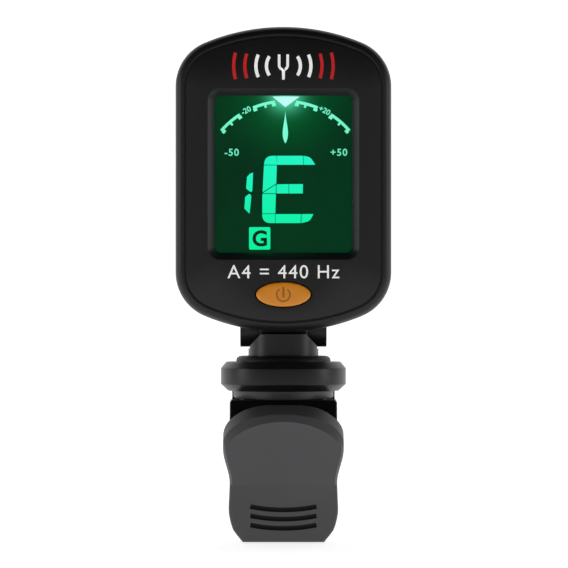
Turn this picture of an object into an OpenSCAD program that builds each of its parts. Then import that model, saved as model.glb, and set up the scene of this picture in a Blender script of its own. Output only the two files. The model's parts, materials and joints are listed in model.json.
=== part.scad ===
// Clip-on tuner: a sprung jaw clip carries a swivelling, tilting head with a lit display.
// Frame: +Z up, the display faces -Y, the origin is the middle of the grip between the two pads.

/* [Head] */
// Width of the head
head_w = 37; // [34:0.5:46]
// Height of the head
head_h = 52.3; // [50:0.5:64]
// Depth of the head from face to back
head_t = 12.3; // [12:0.1:15]
// Radius of the arched top and bottom edges
head_arc_r = 35; // [32:1:60]
// Corner radius of the head
head_corner_r = 8.1; // [6:0.1:10]
// Rounding of the head's front and back edges
head_edge_r = 1.9; // [1:0.1:2.2]
// Wall of the head's sides
side_wall = 1.8; // [1.6:0.1:2.2]
// Wall of the head's front
front_wall = 1.5; // [1.2:0.1:1.6]
// Wall of the head's back
back_wall = 1.5; // [1.4:0.1:1.8]
// Depth of the joint line between the two case halves
joint_depth = 5.5; // [5:0.1:6]

/* [Display] */
// Width of the visible display
window_w = 23.5; // [20:0.5:24]
// Height of the visible display
window_h = 26.9; // [22:0.5:27.5]
// Height of the display's middle above the head's middle
window_up = 0.85; // [0.5:0.05:1]
// Width of the sloping frame round the display
window_bevel = 1.15; // [0.8:0.05:1.2]
// Thickness of the window lens
lens_t = 1; // [0.8:0.1:1.1]
// Thickness of the liquid crystal glass
glass_t = 2; // [1.6:0.1:2]

/* [Button] */
// Width of the oval power button
button_w = 9.3; // [8:0.1:11]
// Height of the oval power button
button_h = 4.15; // [3.5:0.05:4.6]
// Distance of the button's middle below the head's middle
button_down = 19.75; // [19.5:0.05:20]
// Travel of the button
button_travel = 0.3; // [0.2:0.05:0.4]

/* [Power] */
// Diameter of the coin cell
cell_d = 20; // [19:0.5:20]
// Thickness of the coin cell
cell_t = 3.2; // [2.5:0.1:3.2]
// Width of the battery door
door_w = 24; // [23:0.5:25]
// Height of the battery door
door_h = 25; // [24:0.5:26]
// Thickness of the battery door
door_t = 1.2; // [1.1:0.05:1.3]

/* [Tilt hinge] */
// Radius of the hinge ears and of the tongue between them
ear_r = 2.9; // [2.6:0.1:3]
// Width across the two ears
ears_w = 14.9; // [13.5:0.1:16]
// Width of the tongue
tongue_w = 7.8; // [7:0.1:8.4]
// Diameter of the tilt pin
tilt_pin_d = 2; // [1.6:0.1:2.4]
// Thickness of a hinge washer
washer_t = 0.25; // [0.2:0.05:0.3]

/* [Swivel] */
// Diameter of the swivel housing
housing_d = 21.6; // [20:0.1:22]
// Height of the swivel housing
housing_h = 5; // [4.8:0.1:5.5]
// Diameter of the stem above the housing
stem_d = 12.1; // [11:0.1:13]
// Diameter of the stem's journal in the housing
journal_d = 8.8; // [8:0.1:9.4]
// Diameter of the stem's retaining flange
stem_flange_d = 11.5; // [10.8:0.1:11.6]
// Diameter of the dust ring
ring_d = 16.3; // [15:0.1:17]
// Distance of the swivel axis behind the grip
swivel_y = 9; // [8.8:0.1:9.4]
// Distance of the tilt axis behind the swivel axis
tilt_back = 1.5; // [1.2:0.1:1.8]

/* [Clip] */
// Height of the pivot pin above the grip's middle
pivot_z = 13; // [12.6:0.1:13.2]
// Diameter of the pivot pin
pivot_pin_d = 2; // [1.8:0.1:2.4]
// Greatest width of the front lever
lever_w = 20.4; // [19.4:0.1:22]
// Width of the front lever at its waist
waist_w = 18.2; // [17:0.1:19]
// Width of the front lever's jaw
jaw_w = 18.6; // [18.2:0.1:19.4]
// Width of the front lever's lower edge
tip_w = 13.8; // [12:0.1:15]
// Width of the clip body
body_w = 18.4; // [17.6:0.1:18.4]
// Lean of the thumb paddle from upright
paddle_lean = 28; // [26:0.5:29]
// Length of the paddle's flat face above the crease
paddle_len = 12.5; // [12:0.1:12.8]
// Depth of the rim round the back of the paddle
paddle_rim = 4; // [3.4:0.1:4.2]
// Wall of the two clip mouldings
clip_wall = 1.6; // [1.3:0.1:1.8]
// Length of the grip below the middle of the pads
jaw_drop = 4.5; // [4:0.1:5]
// Thickness of a rubber pad
pad_t = 2; // [1.6:0.1:2.2]
// Gap between the two pads at rest
pad_gap = 0.3; // [0.2:0.05:0.5]
// Wire of the torsion spring
wire_d = 0.8; // [0.6:0.05:0.9]
// Turns of the torsion spring
turns = 6; // [4:1:7]

/* [Fits] */
// Radial clearance of a running pin or journal
run_gap = 0.05; // [0.02:0.01:0.08]
// Clearance round a piece that lies in its seat
seat_gap = 0.1; // [0.05:0.01:0.15]
// Radial clearance of a pin or screw fixed in its hole
fix_gap = 0.01; // [0.005:0.005:0.02]

/* [Hidden] */
$fn = 64;
eps = 0.01;

// Heights and depths of the whole
flange_z = 19.5;                                  // underside of the clip body's flange
flange_h = 1.5;
flange_d = 17.3;
housing_z = flange_z + flange_h;
housing_top = housing_z + housing_h;
ring_h = 1;
shoulder_h = 2.25;                                // round part of the stem above the housing
tilt_z = housing_top + shoulder_h + 0.3 + ear_r;
tilt_y = swivel_y + tilt_back;
head_y = tilt_y + ear_r - head_t;                 // the head's front face
head_z = tilt_z - 0.25 + head_h / 2;              // the head's middle

// Outline of the head
corner_x = head_w / 2 - head_corner_r;
arc_mid = head_h / 2 - head_arc_r;
corner_up = arc_mid + sqrt(pow(head_arc_r - head_corner_r, 2) - corner_x * corner_x);
arc_half = asin(corner_x / (head_arc_r - head_corner_r));

// Depths of the stack inside the head, from the face
lens_back = front_wall + lens_t;
glass_d = lens_back + 0.2;
light_d = glass_d + glass_t + 0.1;
light_t = 1.6;
board_d = light_d + light_t;
board_t = 0.8;
board_back = board_d + board_t;
cell_depth = board_back + 0.6;
door_d = head_t - door_t;
back_in = head_t - back_wall;                     // inner face of the back wall
ledge_d = door_d - 1.2;
window_r = 1;

// Screws that hold the two case halves
screw_x = head_w / 2 - 5.6;
screw_up = head_h / 2 - 6.9;
screw_d = 2;
screw_head_d = 3.4;
boss_r = 2;

// Points on an arc about a centre
function arc_pts(cx, cy, r, a0, a1, n) =
  [for (i = [0:n]) let (a = a0 + (a1 - a0) * i / n) [cx + r * cos(a), cy + r * sin(a)]];

// One quarter-turned end of the head's outline, moved in by i; side 1 is the top, -1 the bottom
function head_end(i, side) = let (r = head_corner_r - i, big = head_arc_r - i)
  concat(arc_pts(corner_x, corner_up, r, 0, 90 - arc_half, 8),
    arc_pts(0, arc_mid, big, 90 - arc_half, 90 + arc_half, 12),
    arc_pts(-corner_x, corner_up, r, 90 + arc_half, 180, 8));

module head_outline(i) polygon(concat(head_end(i, 1), [for (p = head_end(i, 1)) -p]));

// A slab of the head: its children are drawn seen from the front, and lie from depth d0 to d1
module slab(d0, d1)
  translate([0, head_y + d1, head_z]) rotate([90, 0, 0]) linear_extrude(d1 - d0) children();

// A round bar along the head's depth
module bar(x, up, r, d0, d1) slab(d0, d1) translate([x, up]) circle(r);

// A plate seen from the side: points are [y, z]
module side_plate(w, pts)
  translate([-w / 2, 0, 0]) rotate([90, 0, 90]) linear_extrude(w) polygon(pts);

// A round bar along X
module cross_bar(y, z, r, x0, x1)
  translate([x0, y, z]) rotate([0, 90, 0]) cylinder(r = r, h = x1 - x0);

module rounded(w, h, r) {
  square([w - 2 * r, h], center = true);
  square([w, h - 2 * r], center = true);
  for (x = [-1, 1], y = [-1, 1]) translate([x * (w / 2 - r), y * (h / 2 - r)]) circle(r, $fn = 32);
}

function oval(w, h) = [for (a = [0:7.5:359]) [w / 2 * cos(a), h / 2 * sin(a)]];

// One rounded disc of the head's solid
module head_disc(r) rotate([-90, 0, 0]) rotate_extrude($fn = 40)
  polygon(concat([[0, 0]], arc_pts(r - head_edge_r, head_edge_r, head_edge_r, -90, 0, 3),
    arc_pts(r - head_edge_r, head_t - head_edge_r, head_edge_r, 0, 90, 3), [[0, head_t]]));

// The head's rounded outer solid
module head_solid() translate([0, head_y, head_z]) hull()
  for (s = [-1, 1], a = [-arc_half:arc_half / 4:arc_half])
    translate([(head_arc_r - head_corner_r) * sin(a), 0,
      s * (arc_mid + (head_arc_r - head_corner_r) * cos(a))]) head_disc(head_corner_r);

// ---- Head: case and battery door ----

module front_case() color([0.15, 0.15, 0.15]) difference() {
  union() {
    difference() {
      intersection() {
        head_solid();
        slab(-1, joint_depth) square([2 * head_w, 2 * head_h], center = true);
      }
      slab(front_wall, joint_depth + 1) head_outline(side_wall);
    }
    for (x = [-1, 1], s = [-1, 1])
      bar(x * screw_x, s * screw_up, boss_r, front_wall - eps, board_d);
    // fence that centres the display's frame
    slab(front_wall - eps, light_d) translate([0, window_up]) difference() {
      square([frame_w + 2 * seat_gap + 1.6, frame_h + 2 * seat_gap + 1.6], center = true);
      square([frame_w + 2 * seat_gap, frame_h + 2 * seat_gap], center = true);
    }
  }
  // rabbet for the rear case's lip
  slab(joint_depth - 0.8, joint_depth + 1) difference() {
    head_outline(1);
    head_outline(side_wall + 1);
    for (x = [-1, 1], s = [-1, 1]) translate([x * screw_x, s * screw_up]) circle(boss_r);
  }
  // fine groove that sets off the face plate
  slab(-1, 0.3) difference() {
    head_outline(1.55);
    head_outline(1.8);
  }
  slab(-1, front_wall + 1) translate([0, window_up]) rounded(window_w, window_h, window_r);
  window_slope();
  slab_at_button(-1, front_wall + 1) polygon(oval(button_w + 0.3, button_h + 0.3));
  for (x = [-1, 1], s = [-1, 1])
    bar(x * screw_x, s * screw_up, screw_d / 2 + fix_gap, 2.6, board_d + 1);
}

// Sloping sides of the window's opening
module window_slope() translate([0, head_y, head_z + window_up]) hull() {
  w = window_w + 2 * window_bevel;
  h = window_h + 2 * window_bevel;
  translate([-w / 2, -eps, -h / 2]) cube([w, 0.02, h]);
  translate([-window_w / 2, window_bevel - 0.1, -window_h / 2]) cube([window_w, 0.02, window_h]);
}

door_gap = 0.1;
tab_w = 3;
tab_x = 6.5;
tab_drop = 0.8;
tab_t = 0.5;

module rear_case() color([0.13, 0.13, 0.13]) difference() {
  union() {
    difference() {
      intersection() {
        head_solid();
        slab(joint_depth, head_t + 1) square([2 * head_w, 2 * head_h], center = true);
      }
      slab(joint_depth - 1, back_in) head_outline(side_wall);
    }
    // lip that centres the front case
    slab(joint_depth - 0.7, joint_depth + 0.5) difference() {
      head_outline(1 + seat_gap);
      head_outline(side_wall);
    }
    for (x = [-1, 1], s = [-1, 1])
      bar(x * screw_x, s * screw_up, 2.7, board_back, back_in + eps);
    // ledge and wall round the battery
    slab(ledge_d, back_in + eps) translate([0, door_up])
      square([door_w + 3.6, door_h + 3.6], center = true);
    bar(0, door_up, cell_d / 2 + 1.4, cell_depth + 0.4, back_in);
    // pocket wall for the hinge tongue
    intersection() {
      cross_bar(tilt_y, tilt_z, ear_r + 1.5, -tongue_w / 2 - 1.5, tongue_w / 2 + 1.5);
      translate([-20, head_y + joint_depth + eps, tilt_z - 0.2]) cube([40, head_t, 20]);
      slab(0, head_t) head_outline(0.5);
    }
    for (s = [-1, 1]) hinge_ear(s);
  }
  cross_bar(tilt_y, tilt_z, ear_r + 0.3, -ear_in, ear_in);
  cross_bar(tilt_y, tilt_z, tilt_pin_d / 2 + fix_gap, -ears_w, ears_w);
  bar(0, door_up, cell_d / 2 + 0.3, board_back, head_t + 1);
  // slot in the battery's wall for the positive contact
  slab(cell_depth, ledge_d - eps) translate([0, door_up + cell_d / 2 + 1]) square([5, 2.2], center = true);
  // seat of the battery door, with pockets for its tabs and a nail notch
  slab(door_d - eps, head_t + 1) translate([0, door_up])
    rounded(door_w + 2 * door_gap, door_h + 2 * door_gap, 1.5);
  for (x = [-1, 1]) slab(door_d - 0.35, door_d + tab_t + 0.1)
    translate([x * tab_x - tab_w / 2 - 0.2, door_low - 1]) square([tab_w + 0.4, 2.5]);
  bar(0, door_up + door_h / 2 + 1.2, 2.2, head_t - 0.7, head_t + 1);
  for (x = [-1, 1], s = [-1, 1]) {
    bar(x * screw_x, s * screw_up, boss_r + seat_gap, joint_depth - 1, board_d + eps);
    bar(x * screw_x, s * screw_up, screw_d / 2 + 0.1, 0, head_t + 1);
    bar(x * screw_x, s * screw_up, screw_head_d / 2 + 0.2, head_t - 2.4, head_t + 1);
  }
}

ear_in = tongue_w / 2 + washer_t + 0.05;
door_up = 0.15;
door_low = door_up - door_h / 2;

// One of the two ears that carry the tilt pin
module hinge_ear(s) {
  x0 = s > 0 ? ear_in : -ears_w / 2;
  x1 = x0 + ears_w / 2 - ear_in;
  cross_bar(tilt_y, tilt_z, ear_r, x0, x1);
  translate([x0, tilt_y - ear_r, tilt_z]) cube([x1 - x0, 2 * ear_r - head_edge_r, 3.2]);
}

module battery_door() color([0.14, 0.14, 0.14]) {
  slab(door_d, head_t) translate([0, door_up]) rounded(door_w, door_h, 1.4);
  for (x = [-1, 1]) slab(door_d, door_d + tab_t)
    translate([x * tab_x - tab_w / 2, door_low - tab_drop]) square([tab_w, tab_drop + 1]);
}

module window_lens() color([0.05, 0.08, 0.07]) slab(front_wall, lens_back)
  translate([0, window_up]) rounded(window_w + 2, window_h + 2, 1);

// ---- Head: display ----

glass_w = window_w + 2.1;
glass_h = window_h + 3.1;
lead_h = 1.4;                                     // strip along the glass that the zebra presses on

module lcd_glass() color([0.05, 0.2, 0.14]) slab(glass_d, glass_d + glass_t)
  translate([0, window_up]) square([glass_w, glass_h], center = true);

led_space = 1.1;                                  // strip along the glass's top for the lamps

frame_w = glass_w + 2.6;
frame_h = glass_h + 2.5;

module lcd_frame() color([0.85, 0.85, 0.82]) slab(lens_back + 0.05, board_d)
  translate([0, window_up]) difference() {
    square([frame_w, frame_h], center = true);
    square([glass_w + 2 * seat_gap, glass_h + 0.3], center = true);
  }

module backlight_panel() color([0.9, 0.95, 0.9]) slab(light_d, board_d - 0.05)
  translate([-glass_w / 2, window_up - glass_h / 2 + lead_h + 0.2])
    square([glass_w, glass_h - lead_h - led_space - 0.2]);

module backlight_leds() color([0.9, 0.9, 0.5]) for (x = [-7, 0, 7]) slab(board_d - 1, board_d)
  translate([x, window_up + (glass_h - led_space) / 2]) square([2.6, led_space - 0.2], center = true);

module zebra_strip() color([0.75, 0.4, 0.5]) slab(glass_d + glass_t, board_d)
  translate([0, window_up - glass_h / 2 + lead_h / 2]) square([glass_w - 1.4, lead_h - 0.1], center = true);

// ---- Head: circuit board and what it carries ----

module circuit_board() color([0.1, 0.35, 0.2]) slab(board_d, board_back) difference() {
  head_outline(side_wall + 0.3);
  for (x = [-1, 1], s = [-1, 1]) translate([x * screw_x, s * screw_up]) circle(screw_d / 2 + 0.2);
  translate([0, tilt_z - head_z]) square([ears_w + 0.8, 2 * ear_r + 3.8], center = true);
}

module controller_blob() color([0.05, 0.05, 0.05]) translate([0, head_y + board_back, head_z + 16.2])
  rotate([-90, 0, 0]) rotate_extrude()
    polygon(concat([[0, 0]], arc_pts(0, -4.5, 5.7, 52.2, 90, 8)));

module crystal() color([0.8, 0.8, 0.8]) {
  cross_bar(head_y + board_back + 1.1, head_z - 14, 0.9, 2, 7.6);
  cross_bar(head_y + board_back + 1.1, head_z - 14, 1.05, 1.6, 2);
}

// Small chips and capacitors on the back of the board: [across, up, width, height, depth]
chips = [[-6, 14, 2, 1.2, 0.7], [-6, 16.5, 2, 1.2, 0.7], [-6, 19, 1.2, 2, 0.7],
  [6, 14, 2, 1.2, 0.7], [6, 17.5, 3, 3, 1], [-5, -14.5, 1.2, 2, 0.8], [-8, -14.5, 1.2, 2, 0.8],
  [-8, -17.5, 2, 1.2, 0.7], [8.5, -17.5, 2, 1.2, 0.7]];

module board_components() color([0.55, 0.45, 0.3]) for (c = chips)
  slab(board_back, board_back + c[4]) translate([c[0], c[1]]) square([c[2], c[3]], center = true);

switch_body = 1.2;
plunger_r = 1.5;

module tact_switch() color([0.3, 0.3, 0.32]) slab_at_button(board_d - switch_body, board_d) difference() {
  square([6, 5.4], center = true);
  circle(plunger_r + seat_gap);
}

// A slab centred on the button
module slab_at_button(d0, d1) translate([0, 0, -button_down]) slab(d0, d1) children();

module switch_plunger() color([0.9, 0.9, 0.88])
  slab_at_button(button_back, board_d - 0.65) circle(plunger_r);

button_back = board_d - switch_body - 0.7;

module power_button() color([0.92, 0.55, 0.13]) {
  slab_at_button(-0.15, front_wall + 0.7) polygon(oval(button_w, button_h));
  slab_at_button(front_wall + 0.1, front_wall + 0.7) polygon(oval(button_w + 1.4, button_h + 1.2));
  slab_at_button(front_wall + 0.6, button_back) circle(1.4);
}

// ---- Head: power and pickup ----

module battery() color([0.75, 0.76, 0.77]) {
  translate([0, head_y + cell_depth, head_z + door_up]) rotate([-90, 0, 0]) rotate_extrude()
    polygon([[0, 0], [cell_d / 2 - 1.4, 0], [cell_d / 2 - 1.2, 0.3], [cell_d / 2 - 0.7, 0.3],
      [cell_d / 2, 0.8], [cell_d / 2, cell_t - 0.3], [cell_d / 2 - 0.3, cell_t], [0, cell_t]]);
}

module contact_positive() color([0.85, 0.8, 0.6]) {
  top = door_up + cell_d / 2 + 0.02;
  slab(board_back, board_back + 0.2) translate([-1.5, top]) square([3, 2.2]);
  slab(board_back, ledge_d + 0.6) translate([-1.5, top]) square([3, 0.15]);
}

module contact_negative() color([0.85, 0.8, 0.6]) translate([0, head_y + board_back, head_z + door_up])
  side_plate(4, [[0, -6], [0.2, -6], [0.2, -2], [0.58, 3], [0.58, 5], [0.4, 5], [0.4, 3],
    [0, -1.8]]);

piezo_up = -17.9;
piezo_r = 3.4;

module piezo_sensor() color([0.8, 0.7, 0.35]) {
  bar(0, piezo_up, piezo_r, back_in - 0.25, back_in);
  bar(0, piezo_up, piezo_r - 0.9, back_in - 0.5, back_in - 0.25);
}

module piezo_wires() color([0.7, 0.1, 0.1]) for (x = [-1.4, 1.4])
  bar(x, piezo_up + 1, 0.3, board_back, back_in - 0.5);

module case_screws() color([0.6, 0.6, 0.62]) for (x = [-1, 1], s = [-1, 1]) {
  bar(x * screw_x, s * screw_up, screw_d / 2, 2.8, head_t - 2.3);
  bar(x * screw_x, s * screw_up, screw_head_d / 2, head_t - 2.4, head_t - 1.2);
}

// ---- Tilt hinge and swivel ----

module tilt_pin() color([0.62, 0.62, 0.64])
  cross_bar(tilt_y, tilt_z, tilt_pin_d / 2, -ears_w / 2 + 0.3, ears_w / 2 - 0.3);

module hinge_washers() color([0.9, 0.9, 0.88]) for (s = [-1, 1]) difference() {
  x0 = s * (tongue_w / 2 + washer_t / 2 + 0.025) - washer_t / 2;
  cross_bar(tilt_y, tilt_z, ear_r - 0.4, x0, x0 + washer_t);
  cross_bar(tilt_y, tilt_z, tilt_pin_d / 2 + run_gap, -ears_w, ears_w);
}

stem_r = stem_d / 2;
spigot_h = 1.35;                                  // part of the clip body inside the housing
flange_low = housing_z + spigot_h + run_gap;      // underside of the stem's retaining flange
stem_flange_h = 1;
bay_h = 3.9;                                      // depth of the housing's bay
shoulder_top = housing_top + shoulder_h;
apron_top = tilt_z - 0.65;

// Turns its children about the swivel axis
module on_swivel() translate([0, swivel_y, 0]) children();

module stem() color([0.14, 0.14, 0.14]) difference() {
  union() {
    on_swivel() rotate_extrude() polygon([[0, flange_low], [stem_flange_d / 2, flange_low],
      [stem_flange_d / 2, flange_low + stem_flange_h], [journal_d / 2, flange_low + stem_flange_h],
      [journal_d / 2, housing_top + 0.3], [stem_r, housing_top + 0.3], [stem_r, shoulder_top],
      [0, shoulder_top]]);
    side_plate(tongue_w, [[swivel_y - 0.9 * stem_r, shoulder_top - eps],
      [tilt_y + 0.9, shoulder_top - eps], [tilt_y + 0.9, tilt_z - 1], [tilt_y, apron_top],
      [swivel_y - 0.9 * stem_r, apron_top]]);
    cross_bar(tilt_y, tilt_z, ear_r, -tongue_w / 2, tongue_w / 2);
    stem_apron();
  }
  cross_bar(tilt_y, tilt_z, tilt_pin_d / 2 + run_gap, -stem_d, stem_d);
}

// Front of the stem, which rises to the head between sloping shoulders
module stem_apron() intersection() {
  on_swivel() translate([0, 0, shoulder_top - 1]) cylinder(r = stem_r, h = 10);
  translate([0, tilt_y - ear_r - 0.3, 0]) rotate([90, 0, 0]) linear_extrude(2 * stem_r)
    polygon([[-stem_r, shoulder_top - eps], [stem_r, shoulder_top - eps],
      [stem_r, shoulder_top + 0.25], [tongue_w / 2, apron_top], [-tongue_w / 2, apron_top],
      [-stem_r, shoulder_top + 0.25]]);
}

module dust_ring() color([0.09, 0.09, 0.09]) on_swivel() rotate_extrude() polygon([
  [stem_r + 0.1, housing_top], [ring_d / 2, housing_top], [ring_d / 2 - 0.55, housing_top + ring_h],
  [ring_d / 2 - 1.1, housing_top + ring_h], [ring_d / 2 - 1.7, housing_top + 0.5],
  [stem_r + 0.1, housing_top + 0.5]]);

bay_r = stem_flange_d / 2 + 0.25;

module swivel_housing() color([0.14, 0.14, 0.14]) difference() {
  on_swivel() rotate_extrude($fn = 96) polygon([[bay_r, housing_z], [housing_d / 2 - 1.25, housing_z],
    [housing_d / 2, housing_z + 1.15], [housing_d / 2, housing_top - 1.1],
    [housing_d / 2 - 0.95, housing_top], [journal_d / 2 + run_gap, housing_top],
    [journal_d / 2 + run_gap, housing_z + bay_h], [bay_r, housing_z + bay_h]]);
  hub_holes(0.8 + fix_gap, housing_z - 1, housing_z + 3.3);
}

// Cone washer that loads the stem so that it stays where it is turned
module spring_washer() color([0.7, 0.7, 0.72]) on_swivel() rotate_extrude() {
  low = flange_low + stem_flange_h + 0.05;
  high = housing_z + bay_h - 0.05;
  polygon([[journal_d / 2 + 0.3, low], [stem_flange_d / 2 - 0.05, high - 0.4],
    [stem_flange_d / 2 - 0.05, high], [journal_d / 2 + 0.3, low + 0.4]]);
}

// Three round bars on the hub's screw circle
module hub_holes(r, z0, z1) on_swivel() for (a = [90, 210, 330])
  rotate(a) translate([bay_r + 1.2, 0, z0]) cylinder(r = r, h = z1 - z0);

module hub_screws() color([0.6, 0.6, 0.62]) {
  hub_holes(0.8, flange_z + 0.7, housing_z + 3.2);
  hub_holes(1.15, flange_z, flange_z + 0.8);
}

// ---- Clip ----

back_y = tilt_y + 5;                              // rear of the clip body's hub
jaw_y = pad_gap / 2 + pad_t + 0.05;               // face of each jaw behind its pad
crease_y = 6.6;
crease_z = 5.2;
saddle_w = 17.7;

module clip_body() color([0.13, 0.13, 0.13]) difference() {
  union() {
    side_plate(body_w, [[jaw_y, -jaw_drop], [jaw_y + 1.2, -jaw_drop], [jaw_y + 1.8, -jaw_drop + 0.5],
      [crease_y, crease_z], [back_y, flange_z - 2.3], [back_y, flange_z + eps], [1.6, flange_z + eps],
      [-0.6, pivot_z + 3], [-2.9, pivot_z + 0.6], [-2.7, pivot_z - 1.3], [jaw_y, crease_z + 1]]);
    cross_bar(0, pivot_z, 3, -body_w / 2, body_w / 2);
    on_swivel() rotate_extrude() polygon([[0, flange_z], [flange_d / 2 - 0.6, flange_z],
      [flange_d / 2, flange_z + 0.6], [flange_d / 2, housing_z], [bay_r - 0.1, housing_z],
      [bay_r - 0.1, housing_z + spigot_h], [0, housing_z + spigot_h]]);
    // saddle that carries the housing behind the flange
    translate([-saddle_w / 2, swivel_y, flange_z]) cube([saddle_w, back_y - swivel_y, flange_h]);
  }
  side_plate(body_w - 2 * clip_wall, [[-20, crease_z + 0.3], [crease_y - 1.75, crease_z + 0.3],
    [back_y - 1.6, flange_z - 2.2], [back_y - 1.6, flange_z - clip_wall], [-20, flange_z - clip_wall]]);
  cross_bar(0, pivot_z, pivot_pin_d / 2 + fix_gap, -body_w, body_w);
  hub_holes(0.9, flange_z - 6, housing_z + 1);
  hub_holes(1.25, flange_z - 6, flange_z + 0.8);
  for (side = [0, 1]) mirror([side, 0, 0]) jaw_corner();
}

// Block that cuts the rear jaw's lower corner to the front lever's outline
module jaw_corner() translate([0, crease_y + 1, 0]) rotate([90, 0, 0]) linear_extrude(crease_y + 2)
  polygon(concat([for (a = [-82:16:-2]) [jaw_w / 2 - 0.3 - 3 * (1 - cos(a)), 1.2 + (jaw_drop + 1.25) * sin(a)]],
    [[body_w / 2 + 1, 3.4], [body_w / 2 + 1, -jaw_drop - 1], [jaw_w / 2 - 3, -jaw_drop - 1]]));

// A point of the paddle: s along its face above the crease, t inwards from its face
function paddle(s, t) = [-crease_y - s * sin(paddle_lean) + t * cos(paddle_lean),
  crease_z + s * cos(paddle_lean) + t * sin(paddle_lean)];

waist_z = 5.6;
wide_z = 11.6;
shoulder_z = 13.6;
lever_top = paddle(paddle_len + 1, paddle_rim)[1] + eps;

// Right side of the front lever's outline from its lower edge to its top, moved in by i
function lever_side(i) = concat(
  [for (a = [-82:16:-2]) [jaw_w / 2 - 3 * (1 - cos(a)) - i, 1.2 + (jaw_drop + 1.25) * sin(a)]],
  [for (t = [0:0.125:1]) [(waist_w + (lever_w - waist_w) * (1 - cos(180 * t)) / 2) / 2 - i,
    waist_z + (wide_z - waist_z) * t]],
  [for (a = [0:10:90]) [lever_w / 2 - 8.1 * (1 - cos(a)) - i,
    shoulder_z + (lever_top - shoulder_z) * sin(a)]]);

// A block with the front lever's outline
module lever_block(i) translate([0, 20, 0]) rotate([90, 0, 0]) linear_extrude(60)
  polygon(concat(lever_side(i), [for (k = [len(lever_side(i)) - 1:-1:0])
    [-lever_side(i)[k][0], lever_side(i)[k][1]]]));

lug_in = body_w / 2 - clip_wall - 2.1;
lug_t = 1.8;

module front_lever() color([0.32, 0.32, 0.32]) difference() {
  union() {
    difference() {
      intersection() {
        lever_block(0);
        side_plate(2 * lever_w, [[-jaw_y, -jaw_drop], [-jaw_y - 1.3, -jaw_drop],
          [-jaw_y - 1.8, -jaw_drop + 0.4], [-crease_y, crease_z], paddle(paddle_len, 0),
          paddle(paddle_len + 1, 1), paddle(paddle_len + 1, paddle_rim), paddle(1.5, paddle_rim),
          [-jaw_y, crease_z - 0.5]]);
      }
      intersection() {
        lever_block(1.4);
        side_plate(2 * lever_w, [paddle(1, clip_wall), paddle(paddle_len - 0.4, clip_wall),
          paddle(paddle_len - 0.4, 9), paddle(1, 9)]);
      }
    }
    for (s = [-1, 1]) lever_lug(s);
  }
  cross_bar(0, pivot_z, pivot_pin_d / 2 + run_gap, -body_w, body_w);
  jaw_slots();
}

// One of the lever's two lugs on the pivot pin
module lever_lug(s) translate([s * (lug_in + lug_t / 2), 0, 0]) {
  side_plate(lug_t, [paddle(2.2, 1), paddle(9.5, 1), [0, pivot_z + 2.8], [0, pivot_z - 2.8]]);
  cross_bar(0, pivot_z, 2.8, -lug_t / 2, lug_t / 2);
}

slot_r = 27;                                      // radius of the slots' curve
jaw_lean = atan((crease_y - jaw_y - 1.8) / (crease_z + jaw_drop - 0.4));

// Three curved grip slots across the jaw's face
module jaw_slots() translate([0, -crease_y, crease_z]) rotate([90 + jaw_lean, 0, 0])
  for (k = [0:2]) translate([0, -4.25 - 1.65 * k + slot_r, -1.2]) linear_extrude(4)
    polygon(concat(arc_pts(0, 0, slot_r + 0.42, 258, 282, 12), arc_pts(0, 0, slot_r - 0.42, 282, 258, 12)));

module pivot_pin() color([0.65, 0.65, 0.67])
  cross_bar(0, pivot_z, pivot_pin_d / 2, -body_w / 2 + 0.1, body_w / 2 - 0.1);

coil_r = pivot_pin_d / 2 + wire_d / 2 + 0.9;
coil_half = turns * (wire_d + 0.06) / 2;
front_leg = paddle(9, clip_wall + wire_d / 2 + 0.1);
rear_leg = [back_y - 4.6, pivot_z + 1.4];

// Angle at which a line from a point in the side view meets the top of the coil
function meet(p) = atan2(p[1] - pivot_z, p[0])
  + (p[0] < 0 ? -1 : 1) * acos(coil_r / norm([p[0], p[1] - pivot_z]));

coil_a0 = meet(front_leg);
coil_a1 = meet(rear_leg) - 360 * turns;
coil_steps = 16 * turns;

function coil_point(k) = let (a = coil_a0 + (coil_a1 - coil_a0) * k / coil_steps)
  [-coil_half + 2 * coil_half * k / coil_steps, coil_r * cos(a), pivot_z + coil_r * sin(a)];

spring_path = concat([[-coil_half, front_leg[0], front_leg[1]]],
  [for (k = [0:coil_steps]) coil_point(k)], [[coil_half, rear_leg[0], rear_leg[1]]]);

// A round bar of radius r swept along the points p, whose rings stay upright to X
module swept(p, r, n) {
  last = len(p) - 1;
  ring = [for (k = [0:last]) let (
      t = p[min(k + 1, last)] - p[max(k - 1, 0)], u = t / norm(t),
      e = cross([1, 0, 0], u) / norm(cross([1, 0, 0], u)), f = cross(u, e))
    [for (j = [0:n - 1]) p[k] + r * (cos(360 * j / n) * e + sin(360 * j / n) * f)]];
  polyhedron(points = [for (q = ring) for (v = q) v], faces = concat(
    [[for (j = [n - 1:-1:0]) j]],
    [for (k = [0:last - 1], j = [0:n - 1]) let (a = k * n + j, b = k * n + (j + 1) % n)
      [a, b, b + n, a + n]],
    [[for (j = [0:n - 1]) last * n + j]]));
}

module torsion_spring() color([0.6, 0.6, 0.62]) swept(spring_path, wire_d / 2, 8);

pad_w = tip_w + 1;

// A rubber pad between y0 and y1 with its lower corners cut
module pad(y0, y1) color([0.08, 0.08, 0.08]) translate([0, y1, 0]) rotate([90, 0, 0])
  linear_extrude(y1 - y0) polygon([[-pad_w / 2, -2.4], [-pad_w / 2 + 1.4, -jaw_drop + 0.3],
    [pad_w / 2 - 1.4, -jaw_drop + 0.3], [pad_w / 2, -2.4], [pad_w / 2, 3.4], [-pad_w / 2, 3.4]]);

module front_pad() pad(-jaw_y, -pad_gap / 2);

module rear_pad() pad(pad_gap / 2, jaw_y);

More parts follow.
